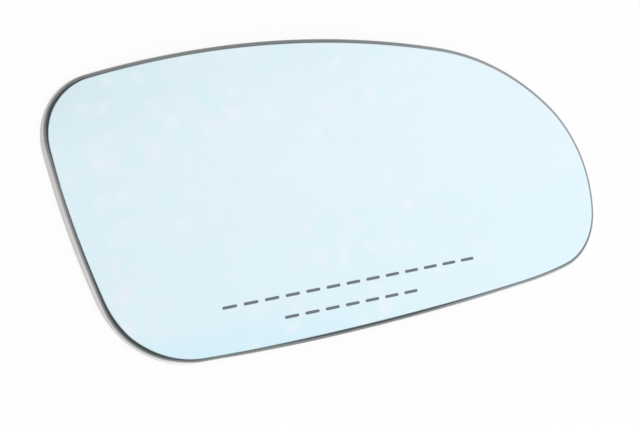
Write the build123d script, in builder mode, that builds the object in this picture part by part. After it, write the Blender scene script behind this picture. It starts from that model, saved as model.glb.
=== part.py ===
from build123d import *
from math import cos, radians, sin, sqrt
import os

# Convex glass of a passenger-side car door mirror: one pane, bent to a sphere, with its edge ground.
# It lies on its hollow back. X runs outboard, Y runs up the fitted mirror, Z runs out of the face.

# Pane
glass_width = 206.0
glass_height = 100.0
glass_thickness = 3.5
face_radius = 1400.0  # of the sphere that the reflecting face is part of

# Ground edge
front_round = 1.5
back_arris = 0.35

# Outline: where it touches the top, the outboard end and the bottom of its box
crown_x = -38.0
outboard_y = -17.5
low_x = -30.0

# Outline: turns and lean, in degrees
top_turn = 14.0  # from the crown to the shoulder
shoulder_turn = 33.0
bottom_turn = 4.6  # from the low point to the run-up at the outboard end
inboard_lean = 4.0

# Outline: radii of its arcs, clockwise from the outboard end as seen from the front
outboard_radius = 47.0
lower_outboard_radius = 22.0
run_up_radius = 155.0
bottom_radius = 1200.0
lower_inboard_radius = 33.5
inboard_radius = 265.0
upper_inboard_radius = 21.0


def sweep_radii(length, drop):
    """Radii of the top and the shoulder, so that with their turns they lead into the outboard end."""
    first = radians(top_turn)
    second = radians(top_turn + shoulder_turn)
    length -= outboard_radius * (1 - sin(second))
    drop -= outboard_radius * cos(second)
    top_length, top_drop = sin(first), 1 - cos(first)
    shoulder_length, shoulder_drop = sin(second) - sin(first), cos(first) - cos(second)
    share = top_length * shoulder_drop - shoulder_length * top_drop
    top_share = length * shoulder_drop - drop * shoulder_length
    shoulder_share = drop * top_length - length * top_drop
    return top_share / share, shoulder_share / share


def blend_centre(first, first_reach, second, second_reach):
    """Point at two given reaches from two centres, left of the way from the first to the second."""
    way = second - first
    along = (way.length**2 + first_reach**2 - second_reach**2) / (2 * way.length)
    aside = sqrt(first_reach**2 - along**2)
    ahead = way.normalized()
    return first + ahead * along + ahead.rotate(Axis.Z, 90) * aside


def touch_point(arc, neighbour):
    """Point where two arcs of the outline run into each other, in line with their centres."""
    (small, _), (large, large_radius) = sorted((arc, neighbour), key=lambda either: either[1])
    return large + (small - large).normalized() * large_radius


# Centres of the arcs that the box, the turns and the lean place
top_radius, shoulder_radius = sweep_radii(glass_width / 2 - crown_x, glass_height / 2 - outboard_y)
top = Vector(crown_x, glass_height / 2 - top_radius)
shoulder = top + Vector(0, 1).rotate(Axis.Z, -top_turn) * (top_radius - shoulder_radius)
outboard = Vector(glass_width / 2 - outboard_radius, outboard_y)
bottom = Vector(low_x, bottom_radius - glass_height / 2)
run_up = bottom + Vector(0, -1).rotate(Axis.Z, bottom_turn) * (bottom_radius - run_up_radius)
upper_inboard_x = upper_inboard_radius - glass_width / 2
upper_inboard_rise = sqrt((top_radius - upper_inboard_radius) ** 2 - (upper_inboard_x - crown_x) ** 2)
upper_inboard = Vector(upper_inboard_x, top.Y + upper_inboard_rise)
inwards = Vector(1, 0).rotate(Axis.Z, inboard_lean)
inboard = upper_inboard + inwards * (inboard_radius - upper_inboard_radius)

# Centres of the two lower corners, which touch the arcs on both sides of them
lower_outboard = blend_centre(
    run_up, run_up_radius - lower_outboard_radius, outboard, outboard_radius - lower_outboard_radius
)
lower_inboard = blend_centre(
    inboard, inboard_radius - lower_inboard_radius, bottom, bottom_radius - lower_inboard_radius
)

ring = [
    (top, top_radius),
    (shoulder, shoulder_radius),
    (outboard, outboard_radius),
    (lower_outboard, lower_outboard_radius),
    (run_up, run_up_radius),
    (bottom, bottom_radius),
    (lower_inboard, lower_inboard_radius),
    (inboard, inboard_radius),
    (upper_inboard, upper_inboard_radius),
]
arc_ends = [touch_point(arc, neighbour) for arc, neighbour in zip(ring, ring[1:] + ring[:1])]

with BuildPart() as mirror_glass:
    # Column of the outline, reaching well past both faces of the pane
    with BuildSketch():
        with BuildLine():
            for place, (_, radius) in enumerate(ring):
                RadiusArc(arc_ends[place - 1], arc_ends[place], radius)
        make_face()
    extrude(amount=glass_width, both=True)

    # Two spheres with one centre leave the bent pane, with its crown over the middle of the box
    with Locations((0, 0, -face_radius)):
        Sphere(face_radius, rotation=(90, 0, 0), mode=Mode.INTERSECT)
        Sphere(face_radius - glass_thickness, rotation=(90, 0, 0), mode=Mode.SUBTRACT)

    # Edge ground round at the front, with a fine arris at the back
    face = mirror_glass.faces().filter_by(GeomType.SPHERE).sort_by(Axis.Z)[-1]
    fillet(face.edges(), radius=front_round)
    back = mirror_glass.faces().filter_by(GeomType.SPHERE).sort_by(Axis.Z)[0]
    chamfer(back.edges(), length=back_arris)

# The rim of the hollow back stands on the ground plane
pane = mirror_glass.part
pane.move(Pos(Z=-pane.bounding_box().min.Z))

os.makedirs("parts", exist_ok=True)
pane.label = "mirror_glass"
export_step(pane, "parts/mirror_glass.step")
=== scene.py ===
"""Looks of a car door mirror glass: mirror coat, ground edge, painted back and etched dashes."""

from math import cos, pi, radians, sin, sqrt, tan

import bpy
from bpy.props import FloatProperty, FloatVectorProperty, IntProperty, PointerProperty
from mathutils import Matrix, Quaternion, Vector


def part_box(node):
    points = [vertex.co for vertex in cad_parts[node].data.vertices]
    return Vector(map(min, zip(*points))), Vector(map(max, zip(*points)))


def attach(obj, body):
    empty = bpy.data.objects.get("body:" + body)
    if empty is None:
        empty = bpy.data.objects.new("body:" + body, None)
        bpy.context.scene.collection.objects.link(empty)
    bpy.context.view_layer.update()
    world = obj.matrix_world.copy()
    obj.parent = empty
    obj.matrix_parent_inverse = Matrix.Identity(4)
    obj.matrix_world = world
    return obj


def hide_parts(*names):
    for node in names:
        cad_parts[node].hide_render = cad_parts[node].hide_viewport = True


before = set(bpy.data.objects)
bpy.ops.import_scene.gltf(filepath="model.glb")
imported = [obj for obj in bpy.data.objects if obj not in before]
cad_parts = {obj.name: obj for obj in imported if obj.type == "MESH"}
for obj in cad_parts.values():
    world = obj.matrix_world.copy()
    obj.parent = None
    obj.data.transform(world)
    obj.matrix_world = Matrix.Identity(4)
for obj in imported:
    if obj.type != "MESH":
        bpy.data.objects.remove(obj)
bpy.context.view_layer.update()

glass_low, glass_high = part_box("mirror_glass")

bl_info = {
    "name": "Car door mirror glass",
    "version": (1, 0, 0),
    "blender": (4, 5, 0),
    "location": "View3D > Sidebar > Mirror glass",
    "description": "Makes a convex mirror pane with a ground edge, its etched dashes and a pale studio",
    "category": "Add Mesh",
}

# Painted shading of the ground rim by the way along it: the dark line's share of the rounding (painted dark
# reflection), start of the pale glass past the rounding's painted shade, whiteness (painted highlight),
# coat's reach in mm
RIM_PAINTED_SHADING = (
    (0.0, 0.03, 0.4, 0.0, 0.0),
    (0.06, 0.02, 0.36, 0.0, 0.0),
    (0.14, 0.05, 0.32, 0.0, 0.0),
    (0.18, 0.09, 0.32, 0.0, 0.0),
    (0.205, 0.19, 0.33, 0.25, 0.0),
    (0.226, 0.145, 0.33, 0.45, -0.03),
    (0.27, 0.12, 0.31, 0.7, 0.0),
    (0.31, 0.15, 0.45, 0.6, -0.05),
    (0.35, 0.3, 0.52, 0.3, -0.11),
    (0.405, 0.31, 0.58, 0.25, -0.05),
    (0.435, 0.25, 0.6, 0.2, 0.0),
    (0.46, 0.12, 0.44, 0.5, 0.07),
    (0.48, 0.11, 0.39, 0.7, 0.12),
    (0.5, 0.09, 0.32, 0.9, 0.05),
    (0.525, 0.2, 0.38, 0.8, -0.13),
    (0.545, 0.42, 0.52, 0.2, -0.09),
    (0.562, 0.414, 0.537, 0.14, 0.15),
    (0.575, 0.41, 0.55, 0.1, 0.06),
    (0.588, 0.31, 0.43, 0.38, 0.0),
    (0.61, 0.2, 0.34, 0.25, 0.0),
    (0.662, 0.09, 0.21, 0.0, 0.15),
    (0.685, 0.18, 0.34, 0.0, -0.02),
    (0.711, 0.44, 0.6, 0.0, 0.12),
    (0.73, 0.32, 0.54, 0.0, -0.03),
    (0.75, 0.12, 0.43, 0.0, 0.03),
    (0.8, 0.05, 0.39, 0.0, 0.02),
    (0.88, 0.1, 0.52, 0.0, -0.01),
    (1.0, 0.03, 0.4, 0.0, 0.0),
)

# Painted reflection: drifts of the coat's tint that stand in for the studio seen in the face; where each
# starts and where it is full, up the pane and along it, in metres
COAT_PAINTED_REFLECTION_DRIFTS = (
    ("coat_middle_painted_reflection", (-0.03, 0.01), (-0.12, 0.0)),
    ("coat_top_painted_reflection", (0.02, 0.045), (0.06, -0.02)),
    ("coat_corner_painted_reflection", (0.02, 0.045), (-0.03, -0.105)),
    ("coat_low_painted_reflection", (-0.034, -0.05), (0.03, -0.05)),
    ("coat_outboard_painted_reflection", (-0.01, 0.035), (0.04, 0.1)),
)

# Dry spots on the coat
SPOT_CELLS = 96.0  # to a metre
SPOT_SCATTER = 0.85
SPOT_RAGS = {"Scale": 160.0, "Detail": 1.0}
SPOT_RAGGEDNESS = 0.007
SPOT_SMALL, SPOT_GROWTH = 0.33, 0.22  # reach of the smallest in cells, and what the largest has more
SPOT_FAINT, SPOT_STRENGTH = 0.3, 0.55  # share of the faintest, and what the strongest has more
SPOTTED_CLOUD = (0.36, 0.52)  # between these the cloud goes from no spots to all of them
SPOTTED_RUN = (0.09, 0.0)  # and between these the way along the pane does
COOL_PATCHES = (0.5, 0.72)
COOL_SHARE = 0.5

# Coat's end, each way from its reach, as the rim map counts it on the face and on the rounding
COAT_FADE_FACE = 0.007
COAT_FADE_ROUND = 0.1
REACH_MIDDLE = 0.5  # what the ramp holds where the coat ends with the face

# Painted shade and highlight of the ground edge, in shares of the rounding
GRIND_AROUND, GRIND_ACROSS = 60.0, 9.0  # fineness of the grinding marks round the rim and over it
CHIP_AROUND, CHIP_ACROSS = 90.0, 1.5
CHIP_DEPTH = 0.08
LINE_START, LINE_END, LINE_FADE = 0.7, 1.3, 0.03  # where the dark line turns to frosted glass
PALE_FADE = 0.48
HIGHLIGHT_FADE = 0.2  # how much shorter that fade is where the glass is white
HIGHLIGHT_ON_SIDE = 0.35  # share of the whiteness that reaches the side
SIDE_START = (1.04, 0.88)
GRIND_SHARE = 0.5
# The rounding's painted shade lightens towards the outboard end
OUTBOARD_RUN = (0.0, 0.08)  # where the rounding turns paler, in metres

# Painted back and etched dashes
MIST_EDGE = (0.35, 0.7)
ETCH_GRAIN_SHARE = 0.35

# Noises of the finishes: fineness, detail and roughness
CLOUD = (22.0, 2.0, 0.5)
PATCHES = (115.0, 1.0, 0.5)
WIPES = (1.0, 4.0, 0.6)
GRIND = (1.0, 3.0, 0.6)
CHIPS = (1.0, 2.0, 0.6)
PAINT_SKIN = (900.0, 3.0, 0.5)
PAINT_MIST = (60.0, 4.0, 0.6)
ETCH_GRAIN = (1800.0, 2.0, 0.5)
WIPE_STRETCH = (14.0, 60.0, 14.0)

# Roughness of each finish: at its smoothest, and what its unevenness adds
COAT_ROUGHNESS, SMEAR_ROUGHNESS, SPOT_ROUGHNESS = 0.03, 0.04, 0.05
LINE_ROUGHNESS, FROST_ROUGHNESS, GRIND_ROUGHNESS = 0.3, 0.25, 0.3
PAINT_ROUGHNESS, MIST_ROUGHNESS = 0.5, 0.2
ETCH_ROUGHNESS, GRAIN_ROUGHNESS = 0.6, 0.2

# Relief of the ground edge and of the sprayed paint
GRIND_RELIEF = {"Strength": 0.35, "Distance": 0.00006}
SKIN_RELIEF = {"Strength": 0.4, "Distance": 0.0002}

# Rows and columns of the pane's mesh
COLUMNS = 640
FACE_MARGIN = 3  # from the rim to the face's last row, in radii of the rounding
FACE_ROWS = 26
ROUND_ROWS = 12
SIDE_ROWS = 3
BACK_ROWS = 14
OUTLINE_STEPS = 64  # along each arc of the outline
PANE_WELD = 1e-6
SHARP_FOLD = radians(30)

# Second map, with the pane's face, the strips of its edge and its back laid out flat
EXPORT_MAP = "OFBake"  # the map's name
MAP_GAP = 0.006  # between the pieces of the map, as a share of its width
EDGE_STRIPS = 4  # that the edge is cut into
BACK_SCALE = 0.7  # of the back, as a share of the face's

# Dashes
DASH_ROUND = 0.49  # radius of the ends, in widths of a dash
DASH_END_POINTS = 5
DASH_WELD = 1e-7

MILLIMETRE = 0.001
WHITE = (1.0, 1.0, 1.0, 1.0)


def length(name, default, description):
    """A length, kept in metres."""
    return FloatProperty(
        name=name, description=description, default=default, subtype="DISTANCE", unit="LENGTH", precision=5
    )


def angle(name, degrees, description):
    """An angle that is written in degrees."""
    return FloatProperty(
        name=name, description=description, default=radians(degrees), subtype="ANGLE", unit="ROTATION"
    )


def colour(name, default, description):
    """A linear colour of a finish."""
    return FloatVectorProperty(
        name=name, description=description, default=default, subtype="COLOR", size=3, min=0, max=1
    )


def place(name, default, description):
    """A point in the part's frame."""
    return FloatVectorProperty(
        name=name, description=description, default=default, subtype="TRANSLATION", unit="LENGTH", size=3,
        precision=5,
    )


def level(name, default, description):
    """A plain number, such as a brightness."""
    return FloatProperty(name=name, description=description, default=default)


def millimetres(name, default, description):
    """A size of the camera, which Blender keeps in millimetres."""
    return FloatProperty(name=name, description=description, default=default, unit="CAMERA")


class PaneSizes(bpy.types.PropertyGroup):
    """Sizes of the pane and its ground edge."""

    width: length("Width", glass_high.x - glass_low.x, "Length of the pane from inboard to outboard")
    height: length("Height", glass_high.y - glass_low.y, "Height of the pane as it is fitted")
    crown: length("Crown", glass_high.z, "Height of the face's middle over the ground plane")
    thickness: length("Thickness", 0.0035, "Thickness of the glass")
    face_radius: length("Face radius", 1.4, "Radius of the sphere that the face is part of")
    front_round: length("Front round", 0.0015, "Radius that the front of the edge is ground to")
    back_arris: length("Back arris", 0.00035, "Width of the fine bevel at the back of the edge")
    crown_x: length("Crown of the top", -0.038, "Where the outline touches the top of its box")
    outboard_y: length("Outboard touch", -0.0175, "Where the outline touches the outboard end of its box")
    low_x: length("Low point", -0.03, "Where the outline touches the bottom of its box")
    top_turn: angle("Top turn", 14, "Turn of the top arc after its crown")
    shoulder_turn: angle("Shoulder turn", 33, "Turn of the shoulder arc")
    bottom_turn: angle("Bottom turn", 4.6, "Turn of the bottom arc from its low point to the run-up")
    inboard_lean: angle("Inboard lean", 4, "Lean of the inboard side at its upper end")
    outboard_radius: length("Outboard radius", 0.047, "Radius of the outboard end")
    lower_outboard_radius: length("Lower outboard radius", 0.022, "Radius of the lower outboard corner")
    run_up_radius: length("Run-up radius", 0.155, "Radius of the bottom's run-up to its outboard corner")
    bottom_radius: length("Bottom radius", 1.2, "Radius of the bottom arc")
    lower_inboard_radius: length("Lower inboard radius", 0.0335, "Radius of the lower inboard corner")
    inboard_radius: length("Inboard radius", 0.265, "Radius of the inboard side")
    upper_inboard_radius: length("Upper inboard radius", 0.021, "Radius of the upper inboard corner")


class DashSizes(bpy.types.PropertyGroup):
    """Sizes of the two etched rows of dashes."""

    upper_count: IntProperty(name="Upper dashes", description="Dashes in the upper row", default=13, min=1)
    lower_count: IntProperty(name="Lower dashes", description="Dashes in the lower row", default=7, min=1)
    upper_middle: place("Upper row", (-0.0045, -0.0337, 0), "Middle of the upper row")
    lower_middle: place("Lower row", (-0.0062, -0.0406, 0), "Middle of the lower row")
    pitch: length("Pitch", 0.0078, "Way from one dash to the next")
    dash: length("Dash", 0.0054, "Length of a dash")
    width: length("Dash width", 0.001, "Width of a dash")
    rise: length("Rise", 0.00002, "How far the etched film stands over the face")
    sink: length("Sink", 0.00004, "How far the etched film reaches into the glass")


class GlassFinish(bpy.types.PropertyGroup):
    """Colours of the coat, the edge, the back and the dashes, with painted reflection in the coat's
    drifting tints and painted shade and highlight on the edge.
    """

    coat: colour("Coat", (0.755, 0.9, 0.97), "Mirror coat on the lower part of the face")
    # Painted reflection: the drifting tints of the coat below stand in for the studio seen in the face
    coat_middle_painted_reflection: colour("Coat, middle", (0.785, 0.91, 0.975), "Mirror coat a little over the face's middle")
    coat_top_painted_reflection: colour("Coat, top", (0.755, 0.89, 0.955), "Mirror coat along the top edge")
    coat_corner_painted_reflection: colour("Coat, corner", (0.705, 0.86, 0.915), "Mirror coat at the upper inboard corner")
    coat_low_painted_reflection: colour("Coat, bottom", (0.685, 0.89, 0.975), "Mirror coat along the bottom edge, inboard")
    coat_outboard_painted_reflection: colour("Coat, outboard", (0.785, 0.892, 0.94), "Mirror coat at the upper outboard end")
    coat_cool: colour("Coat, cool", (0.72, 0.9, 0.962), "Cooler patches of the coat between the dry spots")
    coat_spot: colour("Coat spots", (0.85, 0.895, 0.966), "Dry spots at their rosiest")
    coat_spot_pale: colour("Coat spots, pale", (0.84, 0.934, 0.985), "Dry spots at their palest")
    # Painted dark reflection and shade on the ground edge: the dark line, the grey rounding and its paler
    # outboard end
    edge_painted_dark_line: colour("Edge line", (0.018, 0.034, 0.04), "Dark line where the coat ends on the rounding")
    edge_round_painted_shade: colour("Edge round", (0.19, 0.2, 0.204), "Frosted rounding next to the coat")
    edge_outboard_painted_shade: colour("Edge outboard", (0.29, 0.322, 0.336), "Frosted rounding at the outboard end")
    edge_side: colour("Edge side", (0.68, 0.665, 0.65), "Pale ground side")
    # Painted highlight on the rounding, and on part of the side
    edge_painted_highlight: colour("Edge white", (0.94, 0.94, 0.935), "Rounding where the grinding left it whitest")
    edge_marks: colour("Edge marks", (0.8, 0.8, 0.79), "Pale marks that the grinding left")
    back: colour("Back", (0.055, 0.06, 0.065), "Protective paint on the back")
    back_fleck: colour("Back flecks", (0.072, 0.077, 0.082), "Lighter mist in the paint")
    etch: colour("Etch", (0.1, 0.125, 0.138), "Etched dashes")
    etch_pale: colour("Etch, pale", (0.36, 0.4, 0.42), "Paler grains in the etch")


class StudioSettings(bpy.types.PropertyGroup):
    """Camera, floor and light."""

    eye: place("Camera", (-0.40223, -0.02283, 0.65446), "Where the camera stands")
    aim: place("Aim", (-0.012293, -0.009108, 0.007517), "Point that the camera looks at")
    roll: angle("Roll", 77.37, "Turn of the camera about its line of sight")
    lens: millimetres("Lens", 129.375, "Focal length")
    sensor: millimetres("Sensor", 36.0, "Width of the camera's sensor")
    near: length("Near end", 0.01, "Nearest distance that the camera sees")
    floor: colour("Floor", (0.97, 0.97, 0.97), "Plain pale floor")
    floor_reach: length("Floor reach", 3.0, "How far the floor runs to each side")
    floor_white: level("Floor white", 0.9, "Share of plain white in the floor where it is seen")
    sky_level: level("Sky", 0.9, "Brightness of the studio overhead")
    sky_drift_x: level("Sky drift X", 0.18, "Rise of brightness towards outboard")
    sky_drift_y: level("Sky drift Y", -0.06, "Rise of brightness towards the top")
    lamp_power: FloatProperty(
        name="Lamp", description="Power of the soft lamp", default=5.0, subtype="POWER", unit="POWER"
    )
    lamp_size: length("Lamp size", 1.5, "Side of the soft lamp")
    lamp_place: place("Lamp place", (0.3, -1.2, 1.0), "Where the soft lamp stands")


class Signal:
    """A socket of a node tree. Sums on signals add Math nodes to the tree."""

    def __init__(self, wiring, socket):
        self.wiring = wiring
        self.socket = socket

    def math(self, operation, *values, clamp=False):
        """A Math node on the given values."""
        settings = {"operation": operation, "use_clamp": clamp}
        return self.wiring.node("ShaderNodeMath", settings, dict(enumerate(values)))["Value"]

    def __add__(self, other):
        return self.math("ADD", self, other)

    def __radd__(self, other):
        return self.math("ADD", other, self)

    def __sub__(self, other):
        return self.math("SUBTRACT", self, other)

    def __rsub__(self, other):
        return self.math("SUBTRACT", other, self)

    def __mul__(self, other):
        return self.math("MULTIPLY", self, other)

    def __rmul__(self, other):
        return self.math("MULTIPLY", other, self)

    def __truediv__(self, other):
        return self.math("DIVIDE", self, other)

    def __rtruediv__(self, other):
        return self.math("DIVIDE", other, self)

    def __pow__(self, other):
        return self.math("POWER", self, other)

    def __gt__(self, other):
        return self.math("GREATER_THAN", self, other)

    def __lt__(self, other):
        return self.math("LESS_THAN", self, other)

    def floor(self):
        """The signal cut down to a whole number."""
        return self.math("FLOOR", self)

    def held(self):
        """The signal held between 0 and 1."""
        return self.math("ADD", self, 0.0, clamp=True)

    def step(self, low, high):
        """A soft step from 0 at low to 1 at high."""
        settings = {"interpolation_type": "SMOOTHSTEP"}
        sockets = {"Value": self, "From Min": low, "From Max": high}
        return self.wiring.node("ShaderNodeMapRange", settings, sockets)["Result"]


class Outputs:
    """The output sockets of one node, as signals by name."""

    def __init__(self, wiring, node):
        self.wiring = wiring
        self.node = node

    def __getitem__(self, name):
        """An output by its name, or by its number where names repeat."""
        return Signal(self.wiring, self.node.outputs[name])


class Wiring:
    """Adds nodes to one shader or geometry tree."""

    def __init__(self, tree):
        self.tree = tree

    def node(self, kind, settings=None, sockets=None):
        """Adds a node: its settings first, then the values or links of its sockets."""
        node = self.tree.nodes.new(kind)
        for name, value in (settings or {}).items():
            if name == "stops":
                set_stops(node.color_ramp, value)
            else:
                setattr(node, name, value)
        for name, value in (sockets or {}).items():
            if isinstance(value, Signal):
                self.tree.links.new(value.socket, node.inputs[name])
            else:
                node.inputs[name].default_value = value
        return Outputs(self, node)

    def vector(self, operation, *values):
        """Vector Math on two vectors."""
        settings = {"operation": operation}
        return self.node("ShaderNodeVectorMath", settings, dict(enumerate(values)))["Vector"]

    def scaled(self, vector, factor):
        """A vector times a number."""
        sockets = {"Vector": vector, "Scale": factor}
        return self.node("ShaderNodeVectorMath", {"operation": "SCALE"}, sockets)["Vector"]

    def parts(self, vector):
        """The X, Y and Z of a vector."""
        split = self.node("ShaderNodeSeparateXYZ", {}, {"Vector": vector})
        return split["X"], split["Y"], split["Z"]

    def joined(self, x, y, z):
        """A vector from its X, Y and Z."""
        return self.node("ShaderNodeCombineXYZ", {}, {"X": x, "Y": y, "Z": z})["Vector"]

    def mixed(self, factor, first, second):
        """A colour between two colours."""
        settings = {"data_type": "RGBA", "clamp_factor": True}
        return self.node("ShaderNodeMix", settings, {0: factor, 6: first, 7: second})[2]

    def together(self, *pieces):
        """Several geometries as one."""
        join = self.node("GeometryNodeJoinGeometry")
        for piece in pieces:
            self.tree.links.new(piece.socket, join.node.inputs["Geometry"])
        return join["Geometry"]

    def noise(self, vector, scale, detail, roughness):
        """Smooth noise about 0.5 on given coordinates."""
        sockets = {"Vector": vector, "Scale": scale, "Detail": detail, "Roughness": roughness}
        return self.node("ShaderNodeTexNoise", {}, sockets)["Fac"]


def set_stops(ramp, stops):
    """Places the colours of a ramp."""
    while len(ramp.elements) < len(stops):
        ramp.elements.new(1.0)
    for element, (position, shade) in zip(ramp.elements, stops):
        element.position = position
        element.color = shade


def solid(shade):
    """A colour socket's value from a property."""
    return (*shade, 1.0)


def new_material(name):
    """An empty material and its wiring."""
    material = bpy.data.materials.new(name)
    material.use_nodes = True
    material.node_tree.nodes.clear()
    return material, Wiring(material.node_tree)


def finish_material(material, wiring, sockets):
    """Ends a material in a Principled shader with the given sockets."""
    shader = wiring.node("ShaderNodeBsdfPrincipled", {}, sockets)["BSDF"]
    wiring.node("ShaderNodeOutputMaterial", {}, {"Surface": shader})
    return material


def ground_rim(wiring):
    """Where a point lies along and across the rim, and the painted shade, painted highlight and coat's
    reach that the table gives there.
    """
    along, across, _ = wiring.parts(wiring.node("ShaderNodeUVMap", {"uv_map": "rim_map"})["UV"])
    stops = [(way, (line, pale, white, REACH_MIDDLE + reach)) for way, line, pale, white, reach in RIM_PAINTED_SHADING]
    left = wiring.node("ShaderNodeValToRGB", {"stops": stops}, {"Fac": along})
    line, pale, white = wiring.parts(left["Color"])
    reach = (left["Alpha"] - REACH_MIDDLE) * MILLIMETRE
    return {"along": along, "across": across, "line": line, "pale": pale, "white": white, "reach": reach}


def mirror_coat(pane, finish):
    """Pale blue mirror coat whose tint drifts over the face as painted reflection, with faint dry spots and
    wipes.
    """
    material, wiring = new_material("mirror_coat")
    spot = wiring.node("ShaderNodeTexCoord")["Object"]
    x, y, _ = wiring.parts(spot)
    tint = solid(finish.coat)
    # Painted reflection: the tint drifts over the face the way the studio seen in it would
    for shade, rise, run in COAT_PAINTED_REFLECTION_DRIFTS:
        tint = wiring.mixed(y.step(*rise) * x.step(*run), tint, solid(getattr(finish, shade)))

    # Dry spots: one ragged dot in each cell, of its own size and tint, thinning out where the cloud ends
    rags = wiring.node("ShaderNodeTexNoise", {}, {"Vector": spot, **SPOT_RAGS})["Color"]
    rags = wiring.scaled(wiring.vector("SUBTRACT", rags, (0.5, 0.5, 0.5)), SPOT_RAGGEDNESS)
    cells = wiring.node(
        "ShaderNodeTexVoronoi",
        {"voronoi_dimensions": "2D"},
        {"Vector": wiring.vector("ADD", spot, rags), "Scale": SPOT_CELLS, "Randomness": SPOT_SCATTER},
    )
    size, strength, pallor = wiring.parts(cells["Color"])
    spotted = wiring.noise(spot, *CLOUD).step(*SPOTTED_CLOUD) * x.step(*SPOTTED_RUN)
    dot = cells["Distance"].step(SPOT_SMALL + size * SPOT_GROWTH, 0.0)
    dry = dot * (SPOT_FAINT + strength * SPOT_STRENGTH) * spotted
    cool = wiring.noise(spot, *PATCHES).step(*COOL_PATCHES) * spotted * COOL_SHARE
    tint = wiring.mixed(cool, tint, solid(finish.coat_cool))
    spot_tint = wiring.mixed(pallor, solid(finish.coat_spot), solid(finish.coat_spot_pale))
    tint = wiring.mixed(dry, tint, spot_tint)

    # The coat thins out at its reach, near the start of the rounding, into the rounding's painted shade
    rim = ground_rim(wiring)
    past = rim["across"] - rim["reach"] / (ROUND_ROWS * (FACE_MARGIN - 1) * pane.front_round)
    tint = wiring.mixed(past.step(-COAT_FADE_FACE, COAT_FADE_FACE), tint, solid(finish.edge_round_painted_shade))
    wipes = wiring.node("ShaderNodeMapping", {}, {"Vector": spot, "Scale": WIPE_STRETCH})["Vector"]
    smear = wiring.noise(wipes, *WIPES)
    roughness = COAT_ROUGHNESS + smear * SMEAR_ROUGHNESS + dry * SPOT_ROUGHNESS
    return finish_material(
        material, wiring, {"Base Color": tint, "Metallic": 1.0, "Roughness": roughness}
    )


def ground_edge(pane, finish):
    """Frosted edge, ground along the rim, with painted dark reflection, shade and highlight: a dark line at
    the coat's end, a grey rounding, a pale side.
    """
    material, wiring = new_material("ground_edge")
    x, _, _ = wiring.parts(wiring.node("ShaderNodeTexCoord")["Object"])
    rim = ground_rim(wiring)
    across, line, pale, white = rim["across"], rim["line"], rim["pale"], rim["white"]
    turn = rim["along"] * (2 * pi)
    ring_x = turn.math("COSINE", turn)
    ring_y = turn.math("SINE", turn)
    marks = wiring.joined(ring_x * GRIND_AROUND, ring_y * GRIND_AROUND, across * GRIND_ACROSS)
    grind = wiring.noise(marks, *GRIND)
    marks = wiring.joined(ring_x * CHIP_AROUND, ring_y * CHIP_AROUND, across * CHIP_ACROSS)
    chips = wiring.noise(marks, *CHIPS)
    way = across + (chips - 0.5) * CHIP_DEPTH - rim["reach"] / (pane.front_round * pi / 2)

    # The painted dark line and the rounding's painted shade give way to the pale side as far as the rim's
    # painted shading table gives them
    frosted = way.step(line * LINE_START, line * LINE_END + LINE_FADE)
    # Painted shade: the rounding is painted grey, a little paler towards the outboard end
    rounding = wiring.mixed(x.step(*OUTBOARD_RUN), solid(finish.edge_round_painted_shade), solid(finish.edge_outboard_painted_shade))
    # Painted highlight: whiteness on the rounding from the table, with a share of it on the side
    white = white * (HIGHLIGHT_ON_SIDE + way.step(*SIDE_START) * (1 - HIGHLIGHT_ON_SIDE))
    side = wiring.mixed(white, solid(finish.edge_side), solid(finish.edge_painted_highlight))
    glass = wiring.mixed(way.step(pale, pale + PALE_FADE - white * HIGHLIGHT_FADE), rounding, side)
    glass = wiring.mixed((grind - 0.5) * GRIND_SHARE, glass, solid(finish.edge_marks))
    # Painted dark reflection: the dark line until the frosted glass starts
    shade = wiring.mixed(frosted, solid(finish.edge_painted_dark_line), glass)
    shade = wiring.mixed(way.step(-COAT_FADE_ROUND, COAT_FADE_ROUND), solid(finish.coat), shade)
    relief = wiring.node("ShaderNodeBump", {}, {**GRIND_RELIEF, "Height": grind})["Normal"]
    roughness = LINE_ROUGHNESS + frosted * (FROST_ROUGHNESS + grind * GRIND_ROUGHNESS)
    return finish_material(
        material, wiring, {"Base Color": shade, "Roughness": roughness, "Normal": relief, "IOR": 1.5}
    )


def back_paint(finish):
    """Dark protective paint with a sprayed skin."""
    material, wiring = new_material("back_paint")
    spot = wiring.node("ShaderNodeTexCoord")["Object"]
    skin = wiring.noise(spot, *PAINT_SKIN)
    mist = wiring.noise(spot, *PAINT_MIST)
    shade = wiring.mixed(mist.step(*MIST_EDGE), solid(finish.back), solid(finish.back_fleck))
    relief = wiring.node("ShaderNodeBump", {}, {**SKIN_RELIEF, "Height": skin})["Normal"]
    roughness = PAINT_ROUGHNESS + mist * MIST_ROUGHNESS
    return finish_material(
        material, wiring, {"Base Color": shade, "Roughness": roughness, "Normal": relief}
    )


def etched_film(finish):
    """Matt grey etch, a little uneven."""
    material, wiring = new_material("etched_film")
    spot = wiring.node("ShaderNodeTexCoord")["Object"]
    grain = wiring.noise(spot, *ETCH_GRAIN)
    shade = wiring.mixed(grain * ETCH_GRAIN_SHARE, solid(finish.etch), solid(finish.etch_pale))
    roughness = ETCH_ROUGHNESS + grain * GRAIN_ROUGHNESS
    return finish_material(material, wiring, {"Base Color": shade, "Roughness": roughness})


def heading(turn):
    """The direction at an angle from +X."""
    return Vector((cos(turn), sin(turn), 0.0))


def clockwise(arm):
    """An arm turned by a right angle, clockwise as seen from the front."""
    return Vector((arm.y, -arm.x, 0.0))


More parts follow.
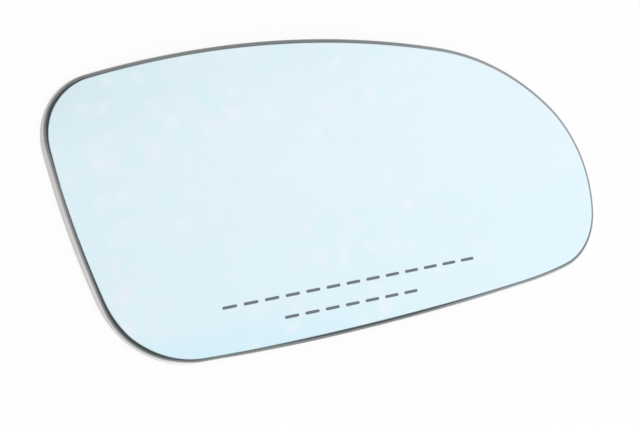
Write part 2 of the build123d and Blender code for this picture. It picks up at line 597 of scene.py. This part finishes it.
def sweep_radii(pane, way, drop):
    """Radii of the top and the shoulder, so that with their turns they lead into the outboard end."""
    first = pane.top_turn
    second = pane.top_turn + pane.shoulder_turn
    way -= pane.outboard_radius * (1 - sin(second))
    drop -= pane.outboard_radius * cos(second)
    top_way, top_drop = sin(first), 1 - cos(first)
    shoulder_way, shoulder_drop = sin(second) - sin(first), cos(first) - cos(second)
    share = top_way * shoulder_drop - shoulder_way * top_drop
    return (way * shoulder_drop - drop * shoulder_way) / share, (drop * top_way - way * top_drop) / share


def blend_centre(first, first_reach, second, second_reach):
    """Point at two given reaches from two centres, left of the way from the first to the second."""
    way = second - first
    along = (way.length_squared + first_reach**2 - second_reach**2) / (2 * way.length)
    aside = sqrt(first_reach**2 - along**2)
    ahead = way.normalized()
    return first + ahead * along - clockwise(ahead) * aside


def touch_point(arc, neighbour):
    """Point where two arcs of the outline run into each other, in line with their centres."""
    (small, _), (large, large_radius) = sorted((arc, neighbour), key=lambda either: either[1])
    return large + (small - large).normalized() * large_radius


def outline_ring(pane):
    """Centre and radius of each arc of the outline, clockwise from the top."""
    half_width, half_height = pane.width / 2, pane.height / 2
    way, drop = half_width - pane.crown_x, half_height - pane.outboard_y
    top_radius, shoulder_radius = sweep_radii(pane, way, drop)
    top = Vector((pane.crown_x, half_height - top_radius, 0.0))
    shoulder = top + heading(pi / 2 - pane.top_turn) * (top_radius - shoulder_radius)
    outboard = Vector((half_width - pane.outboard_radius, pane.outboard_y, 0.0))
    bottom = Vector((pane.low_x, pane.bottom_radius - half_height, 0.0))
    run_up = bottom + heading(pane.bottom_turn - pi / 2) * (pane.bottom_radius - pane.run_up_radius)
    corner_x = pane.upper_inboard_radius - half_width
    corner_rise = sqrt((top_radius - pane.upper_inboard_radius) ** 2 - (corner_x - pane.crown_x) ** 2)
    upper_inboard = Vector((corner_x, top.y + corner_rise, 0.0))
    inboard = upper_inboard + heading(pane.inboard_lean) * (pane.inboard_radius - pane.upper_inboard_radius)
    corner = pane.lower_outboard_radius
    lower_outboard = blend_centre(
        run_up, pane.run_up_radius - corner, outboard, pane.outboard_radius - corner
    )
    corner = pane.lower_inboard_radius
    lower_inboard = blend_centre(
        inboard, pane.inboard_radius - corner, bottom, pane.bottom_radius - corner
    )
    return [
        (top, top_radius),
        (shoulder, shoulder_radius),
        (outboard, pane.outboard_radius),
        (lower_outboard, pane.lower_outboard_radius),
        (run_up, pane.run_up_radius),
        (bottom, pane.bottom_radius),
        (lower_inboard, pane.lower_inboard_radius),
        (inboard, pane.inboard_radius),
        (upper_inboard, pane.upper_inboard_radius),
    ]


def outline_curve(pane):
    """The outline as one closed spline with a point where each arc ends."""
    ring = outline_ring(pane)
    ends = [touch_point(arc, neighbour) for arc, neighbour in zip(ring, ring[1:] + ring[:1])]
    curve = bpy.data.curves.new("pane_outline", "CURVE")
    curve.dimensions = "3D"
    spline = curve.splines.new("BEZIER")
    spline.bezier_points.add(len(ring) - 1)
    spline.use_cyclic_u = True
    spline.resolution_u = OUTLINE_STEPS
    for point, end in zip(spline.bezier_points, ends):
        point.handle_left_type = point.handle_right_type = "FREE"
        point.co = end

    # Handles of the length that makes a spline follow an arc
    for number, (centre, _) in enumerate(ring):
        start_arm, end_arm = ends[number - 1] - centre, ends[number] - centre
        reach = 4 / 3 * tan(start_arm.angle(end_arm) / 4)
        spline.bezier_points[number - 1].handle_right = ends[number - 1] + clockwise(start_arm) * reach
        spline.bezier_points[number].handle_left = ends[number] - clockwise(end_arm) * reach
    return linked(bpy.data.objects.new("pane_outline", curve))


def section_rows(pane):
    """Rows from the middle of the face over the edge to the middle of the back.

    Each row holds its way in from the rim, its depth under the face and its share of the way to the middle.
    """
    margin = FACE_MARGIN * pane.front_round
    rows = [(margin, 0.0, 1 - row / FACE_ROWS) for row in range(FACE_ROWS + 1)]
    for row in range(ROUND_ROWS + 1):
        turn = pi / 2 * row / ROUND_ROWS
        rows.append((pane.front_round * (1 - sin(turn)), pane.front_round * (1 - cos(turn)), 0.0))
    side = pane.thickness - pane.front_round - pane.back_arris
    for row in range(1, SIDE_ROWS + 1):
        rows.append((0.0, pane.front_round + side * row / SIDE_ROWS, 0.0))
    rows.append((pane.back_arris, pane.thickness, 0.0))
    rows.extend((margin, pane.thickness, row / BACK_ROWS) for row in range(BACK_ROWS + 1))
    return rows


def map_places(pane):
    """Where the second map holds the face, the strips of the edge and the back, from the top down."""
    scale = (1 - 2 * MAP_GAP) / pane.width
    face = pane.height * scale
    back = face * BACK_SCALE
    return {
        "Map Scale": scale,
        "Face Middle": (0.5, 1 - MAP_GAP - face / 2, 0.0),
        "Back Middle": (MAP_GAP + (0.5 - MAP_GAP) * BACK_SCALE, MAP_GAP + back / 2, 0.0),
        "Strip Start": 2 * MAP_GAP + back,
        "Strip Pitch": (1 - face - back - 3 * MAP_GAP) / EDGE_STRIPS,
    }


def linked(thing):
    """Puts an object into the scene."""
    bpy.context.scene.collection.objects.link(thing)
    return thing


def new_tree(name, inputs):
    """An empty geometry tree with named inputs, its wiring and its inputs as signals."""
    tree = bpy.data.node_groups.new(name, "GeometryNodeTree")
    for socket_name, kind in inputs.items():
        tree.interface.new_socket(socket_name, in_out="INPUT", socket_type=kind)
    tree.interface.new_socket("Geometry", in_out="OUTPUT", socket_type="NodeSocketGeometry")
    wiring = Wiring(tree)
    return tree, wiring, wiring.node("NodeGroupInput")


def add_tree(host, tree, values):
    """Adds a geometry tree to an object and sets its inputs by their identifiers."""
    modifier = host.modifiers.new(tree.name, "NODES")
    modifier.node_group = tree
    for item in tree.interface.items_tree:
        if item.in_out == "INPUT" and item.name in values:
            modifier[item.identifier] = values[item.name]


def plain_piece(host, name, *helpers):
    """Makes a plain mesh object of what a host's tree gives, and removes the host and its helpers."""
    graph = bpy.context.evaluated_depsgraph_get()
    mesh = bpy.data.meshes.new_from_object(
        host.evaluated_get(graph), preserve_all_data_layers=True, depsgraph=graph
    )
    for helper in (host, *helpers):
        bpy.data.objects.remove(helper)
    mesh.name = name
    if not mesh.polygons:
        raise RuntimeError(f"{name} came out empty")
    return linked(bpy.data.objects.new(name, mesh))


def face_drop(wiring, point, reach):
    """How far a sphere of that reach has dropped at a point from its crown."""
    x, y, _ = wiring.parts(point)
    spread = x * x + y * y
    return spread / (reach + (reach * reach - spread) ** 0.5)


def of_cell(wiring, value):
    """A value taken at the middle of each cell of a mesh, the same for all its corners."""
    settings = {"data_type": "FLOAT", "domain": "FACE"}
    return wiring.node("GeometryNodeFieldOnDomain", settings, {"Value": value})["Value"]


def export_map(wiring, given, x, y, map_u, map_row):
    """Lays the face and the back flat, and the edge between them in strips."""
    first, last = given["First Edge Row"], given["Last Edge Row"]
    on_face = of_cell(wiring, map_row) < first
    on_back = of_cell(wiring, map_row) > last
    strip = (of_cell(wiring, map_u) * EDGE_STRIPS).floor()
    scale, pitch = given["Map Scale"], given["Strip Pitch"]
    face = wiring.scaled(wiring.joined(x, y, 0.0), scale)
    face = wiring.vector("ADD", face, given["Face Middle"])
    back = wiring.scaled(wiring.joined(0.0 - x, y, 0.0), scale * BACK_SCALE)
    back = wiring.vector("ADD", back, given["Back Middle"])
    along = MAP_GAP + (map_u * EDGE_STRIPS - strip) * (1 - 2 * MAP_GAP)
    down = (map_row - first) / (last - first)
    edge = wiring.joined(along, given["Strip Start"] + strip * pitch + down * (pitch - MAP_GAP), 0.0)
    edge = wiring.scaled(edge, 1 - on_face - on_back)
    flat = wiring.vector("ADD", wiring.scaled(face, on_face), wiring.scaled(back, on_back))
    return wiring.vector("ADD", flat, edge)


def pane_tree():
    """Sweeps the section round the outline and bends the pane to its sphere."""
    inputs = {
        "Outline": "NodeSocketObject",
        "Section": "NodeSocketObject",
        "Columns": "NodeSocketInt",
        "Rows": "NodeSocketInt",
        "First Edge Row": "NodeSocketInt",
        "Last Edge Row": "NodeSocketInt",
        "Face Radius": "NodeSocketFloat",
        "Crown": "NodeSocketFloat",
        "Map Scale": "NodeSocketFloat",
        "Face Middle": "NodeSocketVector",
        "Back Middle": "NodeSocketVector",
        "Strip Start": "NodeSocketFloat",
        "Strip Pitch": "NodeSocketFloat",
        "Coat": "NodeSocketMaterial",
        "Edge": "NodeSocketMaterial",
        "Back": "NodeSocketMaterial",
    }
    tree, wiring, given = new_tree("ground_pane", inputs)
    outline = wiring.node("GeometryNodeObjectInfo", {}, {"Object": given["Outline"]})["Geometry"]
    section = wiring.node("GeometryNodeObjectInfo", {}, {"Object": given["Section"]})["Geometry"]
    sheet = wiring.node(
        "GeometryNodeMeshGrid",
        {},
        {"Size X": 1.0, "Size Y": 1.0, "Vertices X": given["Columns"], "Vertices Y": given["Rows"]},
    )
    position = wiring.node("GeometryNodeInputPosition")["Position"]
    sheet_x, sheet_y, _ = wiring.parts(position)
    turn = sheet_x + 0.5
    row = (sheet_y + 0.5) * (given["Rows"] - 1)

    # Where the rim runs at this column, and where the section is at this row
    rim = wiring.node(
        "GeometryNodeSampleCurve",
        {"mode": "FACTOR", "use_all_curves": True},
        {"Curves": outline, "Factor": turn},
    )
    cut = wiring.node(
        "GeometryNodeSampleIndex",
        {"data_type": "FLOAT_VECTOR", "domain": "POINT", "clamp": True},
        {"Geometry": section, "Value": position, "Index": row + 0.5},
    )["Value"]
    inset, depth, share = wiring.parts(cut)
    inwards = wiring.vector("CROSS_PRODUCT", rim["Tangent"], (0.0, 0.0, 1.0))
    ring = wiring.vector("ADD", rim["Position"], wiring.scaled(inwards, inset))
    point = wiring.scaled(ring, 1 - share)
    height = given["Crown"] - depth - face_drop(wiring, point, given["Face Radius"] - depth)
    x, y, _ = wiring.parts(point)

    # The row stays on the points, and the way along and across the edge on the corners
    kept = wiring.node(
        "GeometryNodeStoreNamedAttribute", {"data_type": "FLOAT", "domain": "POINT"},
        {"Geometry": sheet["Mesh"], "Name": "row", "Value": row},
    )["Geometry"]
    map_u, map_v, _ = wiring.parts(sheet["UV Map"])
    map_row = map_v * (given["Rows"] - 1)
    across = (map_row - given["First Edge Row"]) / ROUND_ROWS
    for name, value in (
        ("rim_map", wiring.joined(map_u, across, 0.0)),
        (EXPORT_MAP, export_map(wiring, given, x, y, map_u, map_row)),
    ):
        kept = wiring.node(
            "GeometryNodeStoreNamedAttribute", {"data_type": "FLOAT2", "domain": "CORNER"},
            {"Geometry": kept, "Name": name, "Value": value},
        )["Geometry"]
    shaped = wiring.node(
        "GeometryNodeSetPosition", {}, {"Geometry": kept, "Position": wiring.joined(x, y, height)}
    )["Geometry"]
    closed = wiring.node(
        "GeometryNodeMergeByDistance", {}, {"Geometry": shaped, "Distance": PANE_WELD}
    )["Geometry"]
    fold = wiring.node("GeometryNodeInputMeshEdgeAngle")["Unsigned Angle"]
    smooth = wiring.node(
        "GeometryNodeSetShadeSmooth", {"domain": "EDGE"}, {0: closed, "Shade Smooth": fold < SHARP_FOLD}
    )[0]
    real = wiring.node("GeometryNodeRealizeInstances", {}, {"Geometry": smooth})["Geometry"]

    # Coat on the face, ground glass on the edge, paint on the back
    face_row = wiring.node(
        "GeometryNodeInputNamedAttribute", {"data_type": "FLOAT"}, {"Name": "row"}
    )["Attribute"]
    for material, selection in (
        ("Coat", face_row < given["First Edge Row"]),
        ("Edge", (face_row > given["First Edge Row"]) * (face_row < given["Last Edge Row"])),
        ("Back", face_row > given["Last Edge Row"]),
    ):
        real = wiring.node(
            "GeometryNodeSetMaterial", {},
            {"Geometry": real, "Selection": selection, "Material": given[material]},
        )["Geometry"]
    wiring.node("NodeGroupOutput", {}, {"Geometry": real})
    return tree


def dash_tree():
    """Lays two rows of etched dashes that follow the convex face."""
    inputs = {
        "Upper Count": "NodeSocketInt",
        "Upper Middle": "NodeSocketVector",
        "Lower Count": "NodeSocketInt",
        "Lower Middle": "NodeSocketVector",
        "Pitch": "NodeSocketFloat",
        "Dash": "NodeSocketFloat",
        "Width": "NodeSocketFloat",
        "Rise": "NodeSocketFloat",
        "Sink": "NodeSocketFloat",
        "Face Radius": "NodeSocketFloat",
        "Crown": "NodeSocketFloat",
        "Film": "NodeSocketMaterial",
    }
    tree, wiring, given = new_tree("dash_rows", inputs)
    rows = []
    for count, middle in (("Upper Count", "Upper Middle"), ("Lower Count", "Lower Middle")):
        middle_x, middle_y, _ = wiring.parts(given[middle])
        start = middle_x - given["Pitch"] * (given[count] - 1) / 2
        row = wiring.node(
            "GeometryNodeMeshLine", {"mode": "OFFSET"},
            {
                "Count": given[count],
                "Start Location": wiring.joined(start, middle_y, 0.0 - given["Sink"]),
                "Offset": wiring.joined(given["Pitch"], 0.0, 0.0),
            },
        )
        rows.append(row["Mesh"])
    bar = wiring.node(
        "GeometryNodeCurvePrimitiveQuadrilateral", {"mode": "RECTANGLE"},
        {"Width": given["Dash"], "Height": given["Width"]},
    )["Curve"]
    round_bar = wiring.node(
        "GeometryNodeFilletCurve", {"mode": "POLY"},
        {"Curve": bar, "Count": DASH_END_POINTS, "Radius": given["Width"] * DASH_ROUND},
    )["Curve"]
    patch = wiring.node("GeometryNodeFillCurve", {"mode": "NGONS"}, {"Curve": round_bar})["Mesh"]
    raised = wiring.node(
        "GeometryNodeExtrudeMesh", {"mode": "FACES"},
        {"Mesh": patch, "Offset Scale": given["Rise"] + given["Sink"], "Individual": False},
    )["Mesh"]
    under = wiring.node("GeometryNodeFlipFaces", {}, {"Mesh": patch})["Mesh"]
    film = wiring.node(
        "GeometryNodeMergeByDistance",
        {},
        {"Geometry": wiring.together(raised, under), "Distance": DASH_WELD},
    )["Geometry"]
    laid = wiring.node(
        "GeometryNodeInstanceOnPoints", {}, {"Points": wiring.together(*rows), "Instance": film}
    )["Instances"]
    real = wiring.node("GeometryNodeRealizeInstances", {}, {"Geometry": laid})["Geometry"]
    position = wiring.node("GeometryNodeInputPosition")["Position"]
    height = given["Crown"] - face_drop(wiring, position, given["Face Radius"])
    bent = wiring.node(
        "GeometryNodeSetPosition", {}, {"Geometry": real, "Offset": wiring.joined(0.0, 0.0, height)}
    )["Geometry"]
    painted = wiring.node(
        "GeometryNodeSetMaterial", {}, {"Geometry": bent, "Material": given["Film"]}
    )["Geometry"]
    wiring.node("NodeGroupOutput", {}, {"Geometry": painted})
    return tree


class MIRRORGLASS_OT_make_pane(bpy.types.Operator):
    """Makes the bent pane with its coat, ground edge and painted back"""

    bl_idname = "mirrorglass.make_pane"
    bl_label = "Make the pane"

    def execute(self, context):
        pane, finish = context.scene.mirror_pane, context.scene.mirror_finish
        rows = section_rows(pane)
        outline = outline_curve(pane)
        section = bpy.data.meshes.new("edge_section")
        section.from_pydata(rows, [], [])
        section = linked(bpy.data.objects.new("edge_section", section))
        host = linked(bpy.data.objects.new("pane_host", bpy.data.meshes.new("pane_host")))
        add_tree(
            host,
            pane_tree(),
            {
                "Outline": outline,
                "Section": section,
                "Columns": COLUMNS + 1,
                "Rows": len(rows),
                "First Edge Row": FACE_ROWS + 1,
                "Last Edge Row": FACE_ROWS + ROUND_ROWS + SIDE_ROWS + 2,
                "Face Radius": pane.face_radius,
                "Crown": pane.crown,
                "Coat": mirror_coat(pane, finish),
                "Edge": ground_edge(pane, finish),
                "Back": back_paint(finish),
                **map_places(pane),
            },
        )
        piece = plain_piece(host, "mirror_pane", outline, section)
        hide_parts("mirror_glass")
        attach(piece, "root")
        return {"FINISHED"}


class MIRRORGLASS_OT_etch_dashes(bpy.types.Operator):
    """Etches two rows of plain dashes into the lower part of the face"""

    bl_idname = "mirrorglass.etch_dashes"
    bl_label = "Etch the dashes"

    def execute(self, context):
        pane, dashes = context.scene.mirror_pane, context.scene.mirror_dashes
        host = linked(bpy.data.objects.new("dash_host", bpy.data.meshes.new("dash_host")))
        add_tree(
            host,
            dash_tree(),
            {
                "Upper Count": dashes.upper_count,
                "Upper Middle": dashes.upper_middle,
                "Lower Count": dashes.lower_count,
                "Lower Middle": dashes.lower_middle,
                "Pitch": dashes.pitch,
                "Dash": dashes.dash,
                "Width": dashes.width,
                "Rise": dashes.rise,
                "Sink": dashes.sink,
                "Face Radius": pane.face_radius,
                "Crown": pane.crown,
                "Film": etched_film(context.scene.mirror_finish),
            },
        )
        piece = plain_piece(host, "etched_dashes")
        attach(piece, "root")
        return {"FINISHED"}


class MIRRORGLASS_OT_set_studio(bpy.types.Operator):
    """Lays the pale floor, lights the studio and sets the camera"""

    bl_idname = "mirrorglass.set_studio"
    bl_label = "Set the studio"

    def execute(self, context):
        studio = context.scene.mirror_studio
        self.lay_floor(studio)
        self.light(context.scene, studio)
        self.set_camera(context.scene, studio)
        context.scene.view_settings.view_transform = "Standard"
        return {"FINISHED"}

    def lay_floor(self, studio):
        """A wide floor that is seen white and keeps a soft shadow."""
        reach = studio.floor_reach
        mesh = bpy.data.meshes.new("floor")
        mesh.from_pydata(
            [(-reach, -reach, 0.0), (reach, -reach, 0.0), (reach, reach, 0.0), (-reach, reach, 0.0)],
            [],
            [(0, 1, 2, 3)],
        )
        material, wiring = new_material("pale_floor")
        rays = wiring.node("ShaderNodeLightPath")
        seen = (rays["Is Camera Ray"] + rays["Is Glossy Ray"] + rays["Is Transmission Ray"]).held()
        matt = wiring.node("ShaderNodeBsdfDiffuse", {}, {"Color": solid(studio.floor)})["BSDF"]
        white = wiring.node("ShaderNodeEmission", {}, {"Color": WHITE, "Strength": 1.0})["Emission"]
        share = seen * studio.floor_white
        both = wiring.node("ShaderNodeMixShader", {}, {0: share, 1: matt, 2: white})["Shader"]
        wiring.node("ShaderNodeOutputMaterial", {}, {"Surface": both})
        mesh.materials.append(material)
        linked(bpy.data.objects.new("floor", mesh))

    def light(self, scene, studio):
        """An even white sky that brightens a little to one side, and one soft lamp."""
        world = bpy.data.worlds.new("studio")
        world.use_nodes = True
        world.node_tree.nodes.clear()
        wiring = Wiring(world.node_tree)
        x, y, _ = wiring.parts(wiring.node("ShaderNodeTexCoord")["Generated"])
        strength = studio.sky_level + x * studio.sky_drift_x + y * studio.sky_drift_y
        sky = wiring.node("ShaderNodeBackground", {}, {"Color": WHITE, "Strength": strength})["Background"]
        wiring.node("ShaderNodeOutputWorld", {}, {"Surface": sky})
        scene.world = world
        lamp = bpy.data.lights.new("soft_lamp", "AREA")
        lamp.size = studio.lamp_size
        lamp.energy = studio.lamp_power
        lamp = linked(bpy.data.objects.new("soft_lamp", lamp))
        lamp.location = studio.lamp_place
        lamp.visible_glossy = False
        lamp.rotation_euler = (-lamp.location).to_track_quat("-Z", "Y").to_euler()

    def set_camera(self, scene, studio):
        """The camera at its place, turned to its aim and rolled."""
        camera = bpy.data.cameras.new("camera")
        camera.sensor_fit = "HORIZONTAL"
        camera.sensor_width = studio.sensor
        camera.lens = studio.lens
        camera.clip_start = studio.near
        camera = linked(bpy.data.objects.new("camera", camera))
        eye, aim = Vector(studio.eye), Vector(studio.aim)
        camera.location = eye
        camera.rotation_mode = "QUATERNION"
        upright = (aim - eye).to_track_quat("-Z", "Y")
        camera.rotation_quaternion = upright @ Quaternion((0.0, 0.0, 1.0), studio.roll)
        scene.camera = camera


class MIRRORGLASS_PT_panel(bpy.types.Panel):
    """Sizes, colours and steps of the mirror glass"""

    bl_idname = "MIRRORGLASS_PT_panel"
    bl_label = "Mirror glass"
    bl_space_type = "VIEW_3D"
    bl_region_type = "UI"
    bl_category = "Mirror glass"

    def draw(self, context):
        for group, operator in PANEL_ROWS:
            box = self.layout.box()
            settings = getattr(context.scene, group)
            for name in settings.__annotations__:
                box.prop(settings, name)
            if operator:
                box.operator(operator)


GROUPS = {
    "mirror_pane": PaneSizes,
    "mirror_dashes": DashSizes,
    "mirror_finish": GlassFinish,
    "mirror_studio": StudioSettings,
}
PANEL_ROWS = (
    ("mirror_finish", None),
    ("mirror_pane", MIRRORGLASS_OT_make_pane.bl_idname),
    ("mirror_dashes", MIRRORGLASS_OT_etch_dashes.bl_idname),
    ("mirror_studio", MIRRORGLASS_OT_set_studio.bl_idname),
)
CLASSES = (
    *GROUPS.values(),
    MIRRORGLASS_OT_make_pane,
    MIRRORGLASS_OT_etch_dashes,
    MIRRORGLASS_OT_set_studio,
    MIRRORGLASS_PT_panel,
)


def register():
    """Makes the classes and their settings known to Blender."""
    for each in CLASSES:
        bpy.utils.register_class(each)
    for name, group in GROUPS.items():
        setattr(bpy.types.Scene, name, PointerProperty(type=group))


def unregister():
    """Takes the settings and the classes back."""
    for name in GROUPS:
        delattr(bpy.types.Scene, name)
    for each in reversed(CLASSES):
        bpy.utils.unregister_class(each)


def main():
    """Makes the studio and both pieces."""
    register()
    bpy.ops.mirrorglass.set_studio()
    bpy.ops.mirrorglass.make_pane()
    bpy.ops.mirrorglass.etch_dashes()


if __name__ == "__main__":
    main()
